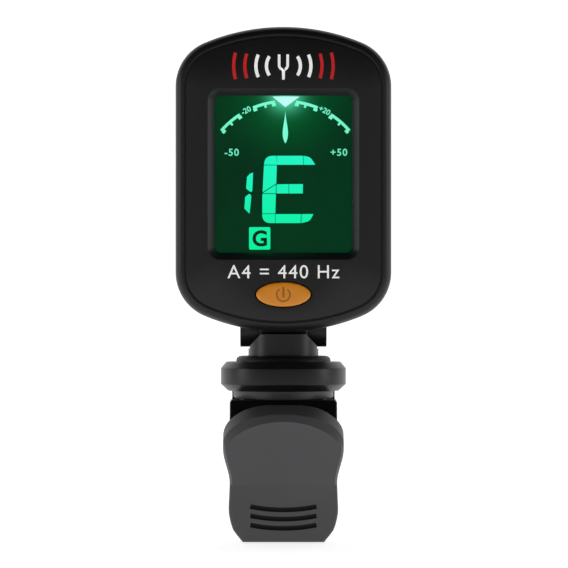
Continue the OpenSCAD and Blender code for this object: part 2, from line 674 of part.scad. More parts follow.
front_case();
rear_case();
battery_door();
window_lens();
lcd_glass();
lcd_frame();
backlight_panel();
backlight_leds();
zebra_strip();
circuit_board();
controller_blob();
crystal();
board_components();
tact_switch();
switch_plunger();
power_button();
battery();
contact_positive();
contact_negative();
piezo_sensor();
piezo_wires();
case_screws();
tilt_pin();
hinge_washers();
stem();
dust_ring();
swivel_housing();
spring_washer();
hub_screws();
clip_body();
front_lever();
pivot_pin();
torsion_spring();
front_pad();
rear_pad();
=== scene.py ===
"""Clip-on tuner: moulded head with a lit display, swivel and tilt hinge, and a sprung jaw clip."""

import math
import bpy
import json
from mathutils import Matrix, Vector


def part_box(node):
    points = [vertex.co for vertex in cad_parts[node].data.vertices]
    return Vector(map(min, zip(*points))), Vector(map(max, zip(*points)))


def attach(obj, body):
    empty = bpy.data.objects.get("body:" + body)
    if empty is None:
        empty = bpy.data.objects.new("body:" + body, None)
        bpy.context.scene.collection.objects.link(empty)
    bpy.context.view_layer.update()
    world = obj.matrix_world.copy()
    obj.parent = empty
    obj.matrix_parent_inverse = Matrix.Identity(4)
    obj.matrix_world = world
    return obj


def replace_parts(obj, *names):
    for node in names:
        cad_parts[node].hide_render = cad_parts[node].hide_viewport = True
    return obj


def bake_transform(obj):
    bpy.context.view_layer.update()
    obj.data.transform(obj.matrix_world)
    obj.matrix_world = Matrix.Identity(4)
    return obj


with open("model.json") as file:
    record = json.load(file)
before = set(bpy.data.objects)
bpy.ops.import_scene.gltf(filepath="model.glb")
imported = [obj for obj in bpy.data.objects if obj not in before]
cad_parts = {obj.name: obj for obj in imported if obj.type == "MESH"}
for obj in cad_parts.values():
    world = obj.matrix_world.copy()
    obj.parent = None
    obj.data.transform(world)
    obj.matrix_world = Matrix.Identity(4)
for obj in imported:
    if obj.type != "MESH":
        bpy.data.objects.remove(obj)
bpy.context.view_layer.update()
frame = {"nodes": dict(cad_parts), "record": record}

import bmesh
import bpy
import json
from mathutils import Vector

MM = 0.001


# ---- Places, in millimetres, worked out from the frame ----

def span(node):
    """Lowest and highest corner of a CAD node in millimetres."""
    low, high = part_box(node)
    return [v / MM for v in low], [v / MM for v in high]


def joint(name):
    for j in frame["record"]["behaviour"]["joints"]:
        if j["name"] == name:
            return j


front_low, front_high = span("front_case")
rear_high = span("rear_case")[1]
lens_low, lens_high = span("window_lens")
button_low, button_high = span("power_button")
door_low, door_high = span("battery_door")
house_low, house_high = span("swivel_housing")
body_high = span("clip_body")[1]
lever_low, lever_high = span("front_lever")
pin_high = span("pivot_pin")[1]
glass_low, glass_high = span("lcd_glass")

HEAD_W = front_high[0] - front_low[0]
HEAD_H = front_high[2] - front_low[2]
HEAD_MID = (front_high[2] + front_low[2]) / 2
FACE_Y = front_low[1]
HEAD_T = rear_high[1] - front_low[1]
JOINT_D = 5.5                      # depth of the joint line between the case halves
ARC_R = 35.0
CORNER_R = 8.1
WINDOW_UP = (lens_high[2] + lens_low[2]) / 2 - HEAD_MID
WINDOW_W = lens_high[0] - lens_low[0] - 2
WINDOW_H = lens_high[2] - lens_low[2] - 2
BUTTON_UP = (button_high[2] + button_low[2]) / 2 - HEAD_MID
BUTTON_W, BUTTON_H = 9.3, 4.15
DOOR_UP = door_high[2] - HEAD_MID - 12.5
TILT_Y, TILT_Z = [v / MM for v in joint("head_tilt")["pos_m"][1:]]
SWIVEL_Y = joint("swivel_turn")["pos_m"][1] / MM
PIVOT_Z = joint("jaw_open")["pos_m"][2] / MM
EAR_R = 2.9
EAR_IN, EAR_OUT = 4.2, 7.45
STEM_R = 6.05


# ---- Shader maths ----

class Val:
    """A socket that takes part in Python expressions; each operator adds a Math node."""

    def __init__(self, mat, socket):
        self.mat, self.socket = mat, socket

    def op(self, kind, *others):
        return self.mat.node("ShaderNodeMath", {"operation": kind}, [self, *others])

    def __add__(self, other):
        return self.op("ADD", other)

    __radd__ = __add__

    def __mul__(self, other):
        return self.op("MULTIPLY", other)

    __rmul__ = __mul__

    def __sub__(self, other):
        return self.op("SUBTRACT", other)

    def __rsub__(self, other):
        return self.mat.node("ShaderNodeMath", {"operation": "SUBTRACT"}, [other, self])

    def __pow__(self, other):
        return self.op("POWER", other)

    def __neg__(self):
        return self.op("MULTIPLY", -1.0)

    def exp(self):
        return self.op("EXPONENT")

    def clamp(self, low=0.0, high=1.0):
        return self.op("MAXIMUM", low).op("MINIMUM", high)


class Finish:
    """A procedural material; its main shader's sockets are set by name."""

    def __init__(self, name, **sockets):
        self.material = bpy.data.materials.new(name)
        self.material.use_nodes = True
        self.tree = self.material.node_tree
        self.main = self.tree.nodes["Principled BSDF"]
        self.set(**sockets)

    def set(self, **sockets):
        for key, value in sockets.items():
            self.feed(self.main.inputs[key.replace("_", " ")], value)

    def feed(self, socket, value):
        if isinstance(value, Val):
            self.tree.links.new(value.socket, socket)
        elif isinstance(value, (tuple, list)) and len(value) == 3 and socket.type == "RGBA":
            socket.default_value = (*value, 1)
        else:
            socket.default_value = value

    def node(self, kind, settings, inputs, out=0):
        made = self.tree.nodes.new(kind)
        for key, value in settings.items():
            if key == "stops":
                ramp = made.color_ramp
                while len(ramp.elements) < len(value):
                    ramp.elements.new(0.5)
                for element, (place, colour) in zip(ramp.elements, value):
                    element.position, element.color = place, (*colour, 1)
            else:
                setattr(made, key, value)
        pairs = inputs.items() if isinstance(inputs, dict) else enumerate(inputs)
        for key, value in pairs:
            self.feed(made.inputs[key], value)
        return Val(self, made.outputs[out])

    def place(self):
        return self.node("ShaderNodeTexCoord", {}, {}, "Object")

    def axis(self, name):
        return self.node("ShaderNodeSeparateXYZ", {}, {0: self.place()}, name)

    def noise(self, scale, detail=3.0, rough=0.5, stretch=(1, 1, 1)):
        where = self.node("ShaderNodeMapping", {}, {0: self.place(), 3: stretch})
        return self.node("ShaderNodeTexNoise", {},
                         {"Vector": where, "Scale": scale, "Detail": detail, "Roughness": rough}, "Fac")

    def mix(self, mask, low, high):
        return self.node("ShaderNodeMix", {"data_type": "RGBA"}, {0: mask, 6: low, 7: high}, 2)

    def bump(self, height, depth, strength=1.0):
        return self.node("ShaderNodeBump", {},
                         {"Height": height, "Distance": depth, "Strength": strength}, "Normal")


def paint(red, green, blue):
    """A colour chip's 0 to 255 values as scene-linear ones."""
    return tuple(((c / 255 + 0.055) / 1.055) ** 2.4 if c > 10 else c / 3295 for c in (red, green, blue))


def moulded(name, colour, roughness=0.42, grain=2600, depth=0.000012, patch=0.12, glow=0.0):
    """Satin injection-moulded plastic: fine spark-eroded grain and faint uneven gloss; glow makes it shine by
    itself, a painted brightness.
    """
    m = Finish(name, IOR=1.48, Specular_IOR_Level=0.35, Emission_Color=colour, Emission_Strength=glow)
    broad = m.noise(90, 4)
    fine = m.noise(grain, 2)
    dark = tuple(c * (1 - patch) for c in colour)
    light = tuple(min(1, c * (1 + patch)) for c in colour)
    m.set(Base_Color=m.mix(broad, dark, light), Roughness=roughness - 0.05 + 0.1 * broad,
          Normal=m.bump(fine, depth, 0.6))
    return m.material


def metal(name, colour, roughness=0.3, stretch=(1, 1, 1), scale=1500):
    """Bare or plated metal with fine drawn lines."""
    m = Finish(name, Metallic=1.0)
    lines = m.noise(scale, 3, 0.6, stretch)
    dark = tuple(c * 0.8 for c in colour)
    m.set(Base_Color=m.mix(lines, dark, colour), Roughness=roughness - 0.08 + 0.16 * lines,
          Normal=m.bump(lines, 0.000006, 0.5))
    return m.material


# ---- Mesh building ----

def arc(cx, cy, r, a0, a1, n):
    """n + 1 points on an arc, angles in degrees."""
    steps = [math.radians(a0 + (a1 - a0) * k / n) for k in range(n + 1)]
    return [(cx + r * math.cos(a), cy + r * math.sin(a)) for a in steps]


def add(name, verts, faces, body, material, slot=None, angle=32, smooth=True):
    """A mesh object from points in millimetres, riding on a CAD body."""
    mesh = bpy.data.meshes.new(name)
    mesh.from_pydata([(x * MM, y * MM, z * MM) for x, y, z in verts], [], faces)
    return finish_piece(name, mesh, body, material, angle, smooth)


def finish_piece(name, mesh, body, material, angle=32, smooth=True):
    bm = bmesh.new()
    bm.from_mesh(mesh)
    bmesh.ops.remove_doubles(bm, verts=bm.verts, dist=1e-7)
    bmesh.ops.recalc_face_normals(bm, faces=bm.faces)
    bm.to_mesh(mesh)
    bm.free()
    for poly in mesh.polygons:
        poly.use_smooth = smooth
    if smooth:
        mesh.set_sharp_from_angle(angle=math.radians(angle))
    mesh.materials.append(material)
    piece = bpy.data.objects.new(name, mesh)
    bpy.context.collection.objects.link(piece)
    if body:
        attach(piece, body)
    return piece


def rings_mesh(rings, close_ends=True):
    """Verts and faces of a skin over rings of equal length; the ends are capped."""
    n = len(rings[0])
    verts = [p for ring in rings for p in ring]
    faces = []
    for k in range(len(rings) - 1):
        for j in range(n):
            a, b = k * n + j, k * n + (j + 1) % n
            faces.append((a, b, b + n, a + n))
    if close_ends:
        faces.append(tuple(range(n)))
        faces.append(tuple(len(verts) - n + j for j in range(n)))
    return verts, faces


def lathe(name, profile, centre, body, material, slot=None, segments=128, angle=32):
    """A turned piece about the vertical axis through centre (x, y); profile is (r, z)."""
    cx, cy = centre
    turns = [math.radians(360 * k / segments) for k in range(segments)]
    rings = [[(cx + r * math.cos(t), cy + r * math.sin(t), z) for t in turns] for r, z in profile]
    verts, faces = rings_mesh(rings, close_ends=False)
    n = len(profile)
    last = [((n - 1) * segments + j) for j in range(segments)]
    for j in range(segments):
        faces.append((last[j], last[(j + 1) % segments], (j + 1) % segments, j))
    return add(name, verts, faces, body, material, slot, angle)


def soften(points, radius, steps=4, share=0.48):
    """A closed outline with its corners rounded; radius is one number or one for each corner.
    A rounding takes up no more than a share of each side it meets."""
    out = []
    n = len(points)
    for k in range(n):
        r = radius[k] if isinstance(radius, (list, tuple)) else radius
        a, p, b = (Vector(points[(k + d) % n]) for d in (-1, 0, 1))
        u, v = (a - p), (b - p)
        cut = min(r / max(1e-6, math.tan(u.angle(v) / 2)), u.length * share, v.length * share)
        if r <= 0:
            out.append(tuple(p))
            continue
        start, end = p + u.normalized() * cut, p + v.normalized() * cut
        for s in range(steps + 1):
            t = s / steps
            out.append(tuple((1 - t) ** 2 * start + 2 * t * (1 - t) * p + t * t * end))
    return out


def head_end(inset, n):
    """Top half of the head's outline, right to left, moved in by inset."""
    cx = HEAD_W / 2 - CORNER_R
    mid = HEAD_H / 2 - ARC_R
    cz = mid + math.sqrt((ARC_R - CORNER_R) ** 2 - cx * cx)
    half = math.degrees(math.asin(cx / (ARC_R - CORNER_R)))
    return (arc(cx, cz, CORNER_R - inset, 0, 90 - half, n)
            + arc(0, mid, ARC_R - inset, 90 - half, 90 + half, 2 * n)[1:]
            + arc(-cx, cz, CORNER_R - inset, 90 + half, 180, n)[1:])


def head_outline(inset, n=20):
    top = head_end(inset, n)
    return top + [(-x, -z) for x, z in top]


def head_ring(inset, depth, n=20):
    """The head's outline as a ring of points at a depth from its face."""
    return [(x, FACE_Y + depth, HEAD_MID + z) for x, z in head_outline(inset, n)]


def flat_ring(outline, depth, up=0.0, x0=0.0):
    return [(x + x0, FACE_Y + depth, HEAD_MID + up + z) for x, z in outline]


def round_rect(w, h, r, n=6):
    x, z = w / 2 - r, h / 2 - r
    corners = [(x, z, 0), (-x, z, 90), (-x, -z, 180), (x, -z, 270)]
    return [p for cx, cz, a in corners for p in arc(cx, cz, r, a, a + 90, n)]


def oval(w, h, n=72):
    return [(w / 2 * math.cos(math.tau * k / n), h / 2 * math.sin(math.tau * k / n))
            for k in range(n)]


def plate_with_holes(name, walls, holes, body, material, angle=32):
    """A hollow moulding: a skin over the rings in walls, from the plate's inner face round its
    rim to its outer face, and over each hole's rings, from the outer face to the inner one."""
    bm = bmesh.new()

    def ring_verts(ring):
        return [bm.verts.new((x * MM, y * MM, z * MM)) for x, y, z in ring]

    def skin(rings):
        for low, high in zip(rings, rings[1:]):
            for j in range(len(low)):
                i = (j + 1) % len(low)
                bm.faces.new((low[j], low[i], high[i], high[j]))

    outer = [ring_verts(r) for r in walls]
    skin(outer)
    cuts = [[ring_verts(r) for r in hole] for hole in holes]
    for cut in cuts:
        skin(cut)
    for loops in ([outer[-1]] + [cut[0] for cut in cuts], [outer[0]] + [cut[-1] for cut in cuts]):
        edges = [bm.edges.get((loop[j - 1], loop[j])) for loop in loops for j in range(len(loop))]
        bmesh.ops.triangle_fill(bm, use_beauty=True, use_dissolve=False, edges=edges)
    mesh = bpy.data.meshes.new(name)
    bm.to_mesh(mesh)
    bm.free()
    return finish_piece(name, mesh, body, material, angle)


def cut_with(piece, *tools):
    """Takes the tools' solids out of a piece."""
    for tool in tools:
        boolean = piece.modifiers.new("cut", "BOOLEAN")
        boolean.object, boolean.solver, boolean.operation = tool, "EXACT", "DIFFERENCE"
    settle(piece, *tools)


def join_with(piece, *others):
    for other in others:
        boolean = piece.modifiers.new("join", "BOOLEAN")
        boolean.object, boolean.solver, boolean.operation = other, "EXACT", "UNION"
    settle(piece, *others)


def settle(piece, *tools, angle=32):
    """Applies a piece's modifiers and takes the tools away."""
    for old in [m for m in piece.modifiers if m.type == "WEIGHTED_NORMAL"]:
        piece.modifiers.remove(old)
    depsgraph = bpy.context.evaluated_depsgraph_get()
    depsgraph.update()
    mesh = bpy.data.meshes.new_from_object(piece.evaluated_get(depsgraph))
    piece.modifiers.clear()
    piece.data = mesh
    for poly in mesh.polygons:
        poly.use_smooth = True
    mesh.set_sharp_from_angle(angle=math.radians(angle))
    for tool in tools:
        bpy.data.objects.remove(tool)


def bevel(piece, width, segments=3, limit=32):
    """Rounds a piece's sharp edges by a width in millimetres."""
    rounding = piece.modifiers.new("edge", "BEVEL")
    rounding.width, rounding.segments = width * MM, segments
    rounding.limit_method, rounding.angle_limit = "ANGLE", math.radians(limit)
    settle(piece, angle=40)
    evened = piece.modifiers.new("even_faces", "WEIGHTED_NORMAL")
    evened.keep_sharp = True
    return piece


def tool_solid(name, verts, faces):
    """A solid that only shapes another piece."""
    mesh = bpy.data.meshes.new(name)
    mesh.from_pydata([(x * MM, y * MM, z * MM) for x, y, z in verts], [], faces)
    bm = bmesh.new()
    bm.from_mesh(mesh)
    bmesh.ops.recalc_face_normals(bm, faces=bm.faces)
    bm.to_mesh(mesh)
    bm.free()
    made = bpy.data.objects.new(name, mesh)
    bpy.context.collection.objects.link(made)
    return made


def depth_tool(outline, d0, d1, up=0.0, x0=0.0):
    """A tool along the head's depth."""
    return tool_solid("tool", *rings_mesh([flat_ring(outline, d0, up, x0), flat_ring(outline, d1, up, x0)]))


def cross_rings(outline, x0, x1):
    """Two rings of a side-view outline, whose points are (y, z)."""
    return [[(x, y, z) for y, z in outline] for x in (x0, x1)]


def cross_tool(outline, x0, x1):
    return tool_solid("tool", *rings_mesh(cross_rings(outline, x0, x1)))


def up_tool(cx, cy, r, z0, z1, n=48):
    """A round tool along the vertical."""
    rings = [[(x, y, z) for x, y in arc(cx, cy, r, 0, 360 - 360 / n, n - 1)] for z in (z0, z1)]
    return tool_solid("tool", *rings_mesh(rings))


def oval_ring(w, h, depth, up):
    return flat_ring(oval(w, h), depth, up)


def strip_sign(centre, r, width, a0, a1, n=16):
    """A curved stroke of a sign: points run out along one edge and back along the other."""
    cx, cz = centre
    return arc(cx, cz, r + width / 2, a0, a1, n) + arc(cx, cz, r - width / 2, a1, a0, n)


def signs(name, outlines, depth, thick, body, material, slot=None, up=0.0):
    """Flat shapes of one thickness, such as print or display segments, as one piece."""
    verts, faces = [], []
    for outline in outlines:
        ring = [flat_ring(outline, d, up) for d in (depth + thick, depth)]
        v, f = rings_mesh(ring)
        faces += [tuple(i + len(verts) for i in face) for face in f]
        verts += v
    return add(name, verts, faces, body, material, slot, smooth=False)


def lettering(name, text, x, up, height, depth, thick, body, material, slot=None, turn=0.0, bold=0.0,
              spread=1.0):
    """Upright figures or letters on the head, centred at (x, up) and turned in degrees."""
    curve = bpy.data.curves.new(name, "FONT")
    curve.body, curve.resolution_u, curve.offset, curve.space_character = text, 4, bold, spread
    source = bpy.data.objects.new(name + "_type", curve)
    bpy.context.collection.objects.link(source)
    depsgraph = bpy.context.evaluated_depsgraph_get()
    depsgraph.update()
    flat = bpy.data.meshes.new_from_object(source.evaluated_get(depsgraph))
    bpy.data.objects.remove(source)
    xs, zs = [v.co.x for v in flat.vertices], [v.co.y for v in flat.vertices]
    scale = height / (max(zs) - min(zs))
    mid_x, mid_z = (max(xs) + min(xs)) / 2, (max(zs) + min(zs)) / 2
    c, s = math.cos(math.radians(turn)), math.sin(math.radians(turn))
    for v in flat.vertices:
        a, b = (v.co.x - mid_x) * scale, (v.co.y - mid_z) * scale
        v.co = Vector(flat_ring([(x + a * c - b * s, up + a * s + b * c)], depth)[0]) * MM
    bm = bmesh.new()
    bm.from_mesh(flat)
    grown = bmesh.ops.extrude_face_region(bm, geom=bm.faces[:])
    for v in grown["geom"]:
        if isinstance(v, bmesh.types.BMVert):
            v.co.y += thick * MM
    bm.to_mesh(flat)
    bm.free()
    return finish_piece(name, flat, body, material, smooth=False)


# ---- Finishes of the head ----

case_black = moulded("case_black", paint(24, 24, 25), 0.4)
# The inks glow faintly by themselves: painted brightness that lifts the print, with no lamp in it.
print_white = moulded("print_white", paint(244, 244, 242), 0.5, 1800, 0.000004, 0.02, 0.3)
print_red = moulded("print_red", paint(196, 24, 28), 0.5, 1800, 0.000004, 0.04, 0.2)


def button_finish(name, colour):
    m = Finish(name, IOR=1.5, Coat_Weight=0.15, Coat_Roughness=0.2)
    m.set(Base_Color=m.mix(m.noise(260, 3), tuple(c * 0.95 for c in colour), colour),
          Roughness=0.34 + 0.08 * m.noise(700, 2), Normal=m.bump(m.noise(1600, 2), 0.000006, 0.4))
    return m.material


button_orange = button_finish("button_orange", paint(248, 154, 22))
button_sign_orange = button_finish("button_sign_orange", paint(196, 116, 14))


def lens_finish():
    """Thin clear window: a faint gloss over what lies behind it."""
    m = Finish("lens_clear", Roughness=0.08, IOR=1.45)
    m.set(Base_Color=paint(4, 6, 5), Alpha=0.04 + 0.02 * m.noise(300, 2))
    return m.material


def display_finish():
    """Dark green display, lit from its upper edge."""
    m = Finish("display_green", Roughness=0.3, Specular_IOR_Level=0.05, Emission_Strength=1.12)
    across = m.axis("X") * (1 / MM) - SCALE_X
    down = (HEAD_MID + WINDOW_UP + WINDOW_H / 2) - m.axis("Z") * (1 / MM)
    lamp = (-(across * across * 0.022 + down * down * 0.02)).exp()
    spot = (-(across * across * 0.16 + down * down * 0.2)).exp()
    side = (across * 0.04 + 0.5).clamp()
    field = m.mix(side, paint(4, 33, 19), paint(1, 40, 21))
    field = m.mix((m.noise(70, 2) * 0.3 + lamp * 0.85).clamp(), field, paint(0, 92, 43))
    m.set(Base_Color=paint(1, 6, 4), Emission_Color=m.mix(spot.clamp(), field, paint(90, 232, 180)))
    return m.material


def segment_finish(name, top, bottom):
    """A lit segment, brighter towards the display's upper edge."""
    m = Finish(name, Roughness=0.4, Specular_IOR_Level=0.05, Emission_Strength=1.12)
    height = (m.axis("Z") * (1 / MM) - (HEAD_MID + WINDOW_UP - WINDOW_H / 2)) * (1 / WINDOW_H)
    m.set(Base_Color=paint(1, 20, 12),
          Emission_Color=m.mix((height + 0.06 * m.noise(200, 2)).clamp(), bottom, top))
    return m.material


SCALE_X = 0.33                     # the display's signs stand a little to the right
lens_clear = lens_finish()
display_green = display_finish()
segment_green = segment_finish("segment_green", paint(40, 246, 214), paint(0, 238, 150))
scale_green = segment_finish("scale_green", paint(120, 250, 208), paint(60, 190, 130))

# ---- Head: front case, window, display and button ----


def front_walls():
    """The front case's rings: inner face, joint line, rounded side, groove and face plate."""
    side = [(0.12, JOINT_D), (0, JOINT_D - 0.12)]
    side += [(1.5 * (1 - math.cos(t)), 2.2 - 2.08 * math.sin(t))
             for t in [math.radians(a) for a in range(0, 91, 9)]]
    groove = [(1.56, 0.14), (1.6, 0.32), (1.74, 0.32), (1.79, 0.17), (1.84, 0.08), (2.0, 0)]
    return [head_ring(i, d) for i, d in [(1.8, 1.5), (1.8, JOINT_D)] + side + groove]


WINDOW_SLOPE = [(2.42, 0, 2.1), (2.3, 0.05, 2.05), (0.12, 0.98, 1.1), (0, 1.1, 1), (0, 1.5, 1)]
window_hole = [flat_ring(round_rect(WINDOW_W + w, WINDOW_H + w, r), d, WINDOW_UP)
               for w, d, r in WINDOW_SLOPE]
button_hole = [oval_ring(BUTTON_W + w, BUTTON_H + w, d, BUTTON_UP)
               for w, d in [(0.5, 0), (0.34, 0.1), (0.3, 0.25), (0.3, 1.5)]]
front_shell = plate_with_holes("front_case_shell", front_walls(), [window_hole, button_hole],
                               "head", case_black)
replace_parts(front_shell, "front_case")

lens_rings = [flat_ring(round_rect(WINDOW_W + 2 - i, WINDOW_H + 2 - i, 1), d, WINDOW_UP)
              for i, d in [(0.1, 1.52), (0, 1.57), (0, 2.43), (0.1, 2.48)]]
lens = add("window_pane", *rings_mesh(lens_rings), "head", lens_clear, "lens_clear")
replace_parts(lens, "window_lens")
glass_w, glass_h = (glass_high[k] - glass_low[k] for k in (0, 2))
glass = add("display_glass", *rings_mesh([flat_ring(round_rect(glass_w - i, glass_h - i, 0.3), d, WINDOW_UP)
                                          for i, d in [(0.1, 2.7), (0, 2.75), (0, 4.65), (0.1, 4.7)]]),
            "head", display_green, "display_green")
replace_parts(glass, "lcd_glass")

SIGN_D = 2.58                      # the segments lie between the window and the glass
SIGN_T = 0.06


def segments(name, outlines, material):
    shifted = [[(x + SCALE_X, z + WINDOW_UP) for x, z in outline] for outline in outlines]
    return signs(name, shifted, SIGN_D, SIGN_T, "head", material, "display_green")


# The cents scale: an arc in four pieces, with short ticks turned inwards
SCALE_MID = (0, -1.96)
SCALE_R = 14.5
TICKS = [(8, 0.7), (14, 0.4), (21.5, 0.7), (33.5, 0.7), (41, 0.4), (48.5, 0.7)]
scale_parts = []
for side in (-1, 1):
    for a0, a1 in [(7.1, 22.5), (32.5, 49.3)]:
        scale_parts.append(strip_sign(SCALE_MID, SCALE_R, 0.5, 90 - side * a0, 90 - side * a1))
    for a, wide in TICKS:
        turn = math.degrees(wide / 2 / SCALE_R)
        scale_parts.append(strip_sign(SCALE_MID, SCALE_R - 0.45, 0.5,
                                      90 - side * a - turn, 90 - side * a + turn, 2))
segments("display_scale", scale_parts, scale_green)
NEEDLE_TOP, NEEDLE_LONG, NEEDLE_HALF = 11, 5.67, 0.46
needle = [(NEEDLE_HALF * math.sin(math.pi * t ** 1.9) ** 0.8, NEEDLE_TOP - NEEDLE_LONG * t)
          for t in [k / 20 for k in range(21)]]
segments("display_needle", [needle + [(-x, z) for x, z in needle[-2:0:-1]]],
         segment_finish("needle_green", paint(125, 252, 214), paint(110, 250, 205)))
segments("display_marker", [[(-2.2, 13.35), (2.45, 13.35), (0, 11.55)]],
         segment_finish("marker_white", paint(190, 255, 246), paint(150, 240, 212)))

# The note letter: a slanted seven-bar sign with rounded ends and fine gaps between its bars
NOTE_BARS = [
    soften([(-3.53, 3.2), (-1.5, 3.2), (-1.44, 1.66), (-3.66, 1.66)], [1.5, 0, 0, 0], 6, 0.95),
    [(-1.42, 3.2), (3.02, 3.2), (3.1, 1.66), (-1.44, 1.66)],
    soften([(3.1, 3.2), (4.3, 2.95), (5.14, 1.66), (3.18, 1.66)], [0, 1.2, 0, 0], 6, 0.95),
    [(-3.67, 1.56), (-1.46, 1.56), (-1.56, -1.56), (-3.9, -3.05)],
    [(-1.5, -1.7), (0.55, -1.66), (0.55, -3.26), (-1.52, -3.26)],
    [(0.63, -1.66), (3.02, -1.66), (3.0, -3.26), (0.63, -3.26)],
    [(-3.92, -3.24), (-1.62, -3.24), (-1.62, -1.74)],
    [(-3.94, -3.36), (-1.62, -3.36), (-1.72, -6.7), (-3.96, -6.7)],
    soften([(-3.97, -6.8), (-1.74, -6.8), (-1.78, -8.35), (-3.96, -8.35)], [0, 0, 0, 1.6], 6, 0.95),
    [(-1.66, -6.8), (2.7, -6.8), (2.62, -8.35), (-1.7, -8.35)],
    soften([(2.8, -6.8), (4.82, -6.8), (4.2, -8.0), (2.74, -8.35)], [0, 0, 1.2, 0], 6, 0.95)]
STRING_BARS = [
    [(-5.53, 0.33), (-5.68, -2.9), (-5.98, -3.0), (-6.73, -2.4), (-6.58, -0.45), (-6.1, 0.1)],
    [(-6.18, -3.3), (-5.83, -3.65), (-6.13, -6.75), (-7.03, -5.85), (-6.88, -3.85)]]
segments("display_note", NOTE_BARS, segment_green)
segments("display_string_number", STRING_BARS, segment_green)
MODE_X, MODE_UP = -4.07, -10.97
segments("display_mode_box", [[(x + MODE_X - SCALE_X, z + MODE_UP) for x, z in round_rect(3.66, 3.86, 0.25)]],
         segment_green)
mode_dark = moulded("mode_dark", paint(2, 40, 22), 0.6)
lettering("display_mode_letter", "G", MODE_X, WINDOW_UP + MODE_UP, 2.8, SIGN_D - 0.04, 0.03,
          "head", mode_dark, "display_green", bold=0.03)
for side, word in ((-1, "-"), (1, "+")):
    a = math.radians(27.5)
    lettering("display_20_" + ("low" if side < 0 else "high"), word + "20",
              SCALE_X + side * 14.6 * math.sin(a), WINDOW_UP - 1.96 + 14.6 * math.cos(a),
              0.98, SIGN_D, SIGN_T, "head", scale_green, "display_green", -side * 27.5, 0.02)
    lettering("display_50_" + ("low" if side < 0 else "high"), word + "50",
              SCALE_X + side * 9.2, WINDOW_UP + 3.8, 1.26, SIGN_D, SIGN_T, "head",
              scale_green, "display_green", bold=0.02, spread=1.15)

BUTTON_DOME = [(0.3, 1.4), (0, 1.3), (0, 0.12), (0.06, 0), (0.24, -0.07), (0.7, -0.11), (1.6, -0.14),
               (3.2, -0.15)]                       # how far in, depth
button = add("button_cap", *rings_mesh([oval_ring(BUTTON_W - i, BUTTON_H - i, d, BUTTON_UP)
                                        for i, d in BUTTON_DOME]),
             "button", button_orange, "button_orange")
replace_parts(button, "power_button")
POWER_SIGN = [strip_sign((0, 0), 1.13, 0.3, 125, 415, 40),
              [(-0.22, 1.34), (0.22, 1.34), (0.22, -0.46), (-0.22, -0.46)]]
tools = [depth_tool(outline, -1, -0.06, BUTTON_UP) for outline in POWER_SIGN]
cut_with(button, *tools)
signs("button_sign", POWER_SIGN, -0.07, 0.03, "button", button_sign_orange, "button_orange", BUTTON_UP)

# Print on the face: a tuning fork that sounds, and the reference pitch
FORK = arc(0, 0.35, 0.95, 180, 360, 16) + [(0.95, 2.2), (0.5, 2.2)] + arc(0, 0.35, 0.5, 0, -65, 8) \
    + [(0.21, -2.1), (-0.21, -2.1)] + arc(0, 0.35, 0.5, 245, 180, 8) + [(-0.5, 2.2), (-0.95, 2.2)]
MARK_UP, CAPTION_UP = 19.1, -15.85
PRINT = (-0.015, 0.03, "head")
signs("print_fork", [FORK], *PRINT, print_white, "case_black", MARK_UP)
NEAR_WAVES, FAR_WAVES = ((2.9, 34), (4.7, 24)), ((6.6, 18.5), (8.5, 15.5))     # radius, half angle
for name, waves, ink in (("near", NEAR_WAVES, print_white), ("far", FAR_WAVES, print_red)):
    arcs = [strip_sign((0, 0.25), r, 0.56, a - half, a + half, 16) for r, half in waves for a in (0, 180)]
    signs("print_waves_" + name, arcs, *PRINT, ink, "case_black", MARK_UP)
lettering("print_pitch", "A4 = 440 Hz", 0, CAPTION_UP, 2.3, *PRINT, print_white, "case_black", spread=1.12)


# ---- Stem, dust ring and swivel housing ----

clip_black = moulded("clip_black", paint(24, 24, 25), 0.34)
# The flange is painted a lighter grey than the clip's black: painted light for the light that the housing and
# lever keep off it.
hub_painted_light_grey = moulded("hub_painted_light_grey", paint(84, 84, 84), 0.4)
lever_grey = moulded("lever_grey", paint(74, 74, 76), 0.5)
ring_rubber = moulded("ring_rubber", paint(26, 26, 26), 0.5)
pad_rubber = moulded("pad_rubber", paint(16, 16, 16), 0.8, 1500, 0.00002)
steel = metal("steel", paint(178, 178, 180), 0.3, (0.2, 1, 1))
SWIVEL = (0, SWIVEL_Y)
HOUSE_Z, HOUSE_TOP = house_low[2], house_high[2]


def turned(name, profile, at, axis, body, material, slot=None, segments=48, angle=32):
    """A turned piece about a line along "X" or "Y" through at; profile is (r, distance along)."""
    turns = [math.tau * k / segments for k in range(segments)]
    verts = []
    for r, far in profile:
        for t in turns:
            a, b = r * math.cos(t), r * math.sin(t)
            step = (far, a, b) if axis == "X" else (a, far, b)
            verts.append(tuple(at[k] + step[k] for k in range(3)))
    n = segments
    faces = [(k * n + j, k * n + (j + 1) % n, (k + 1) * n + (j + 1) % n, (k + 1) * n + j)
             for k in range(len(profile) - 1) for j in range(n)]
    return add(name, verts, faces, body, material, slot, angle)


def cross_piece(name, outline, x0, x1, body, material, slot=None):
    """A moulding of one side-view outline, whose points are (y, z), from x0 to x1."""
    return add(name, *rings_mesh(cross_rings(outline, x0, x1)), body, material, slot)


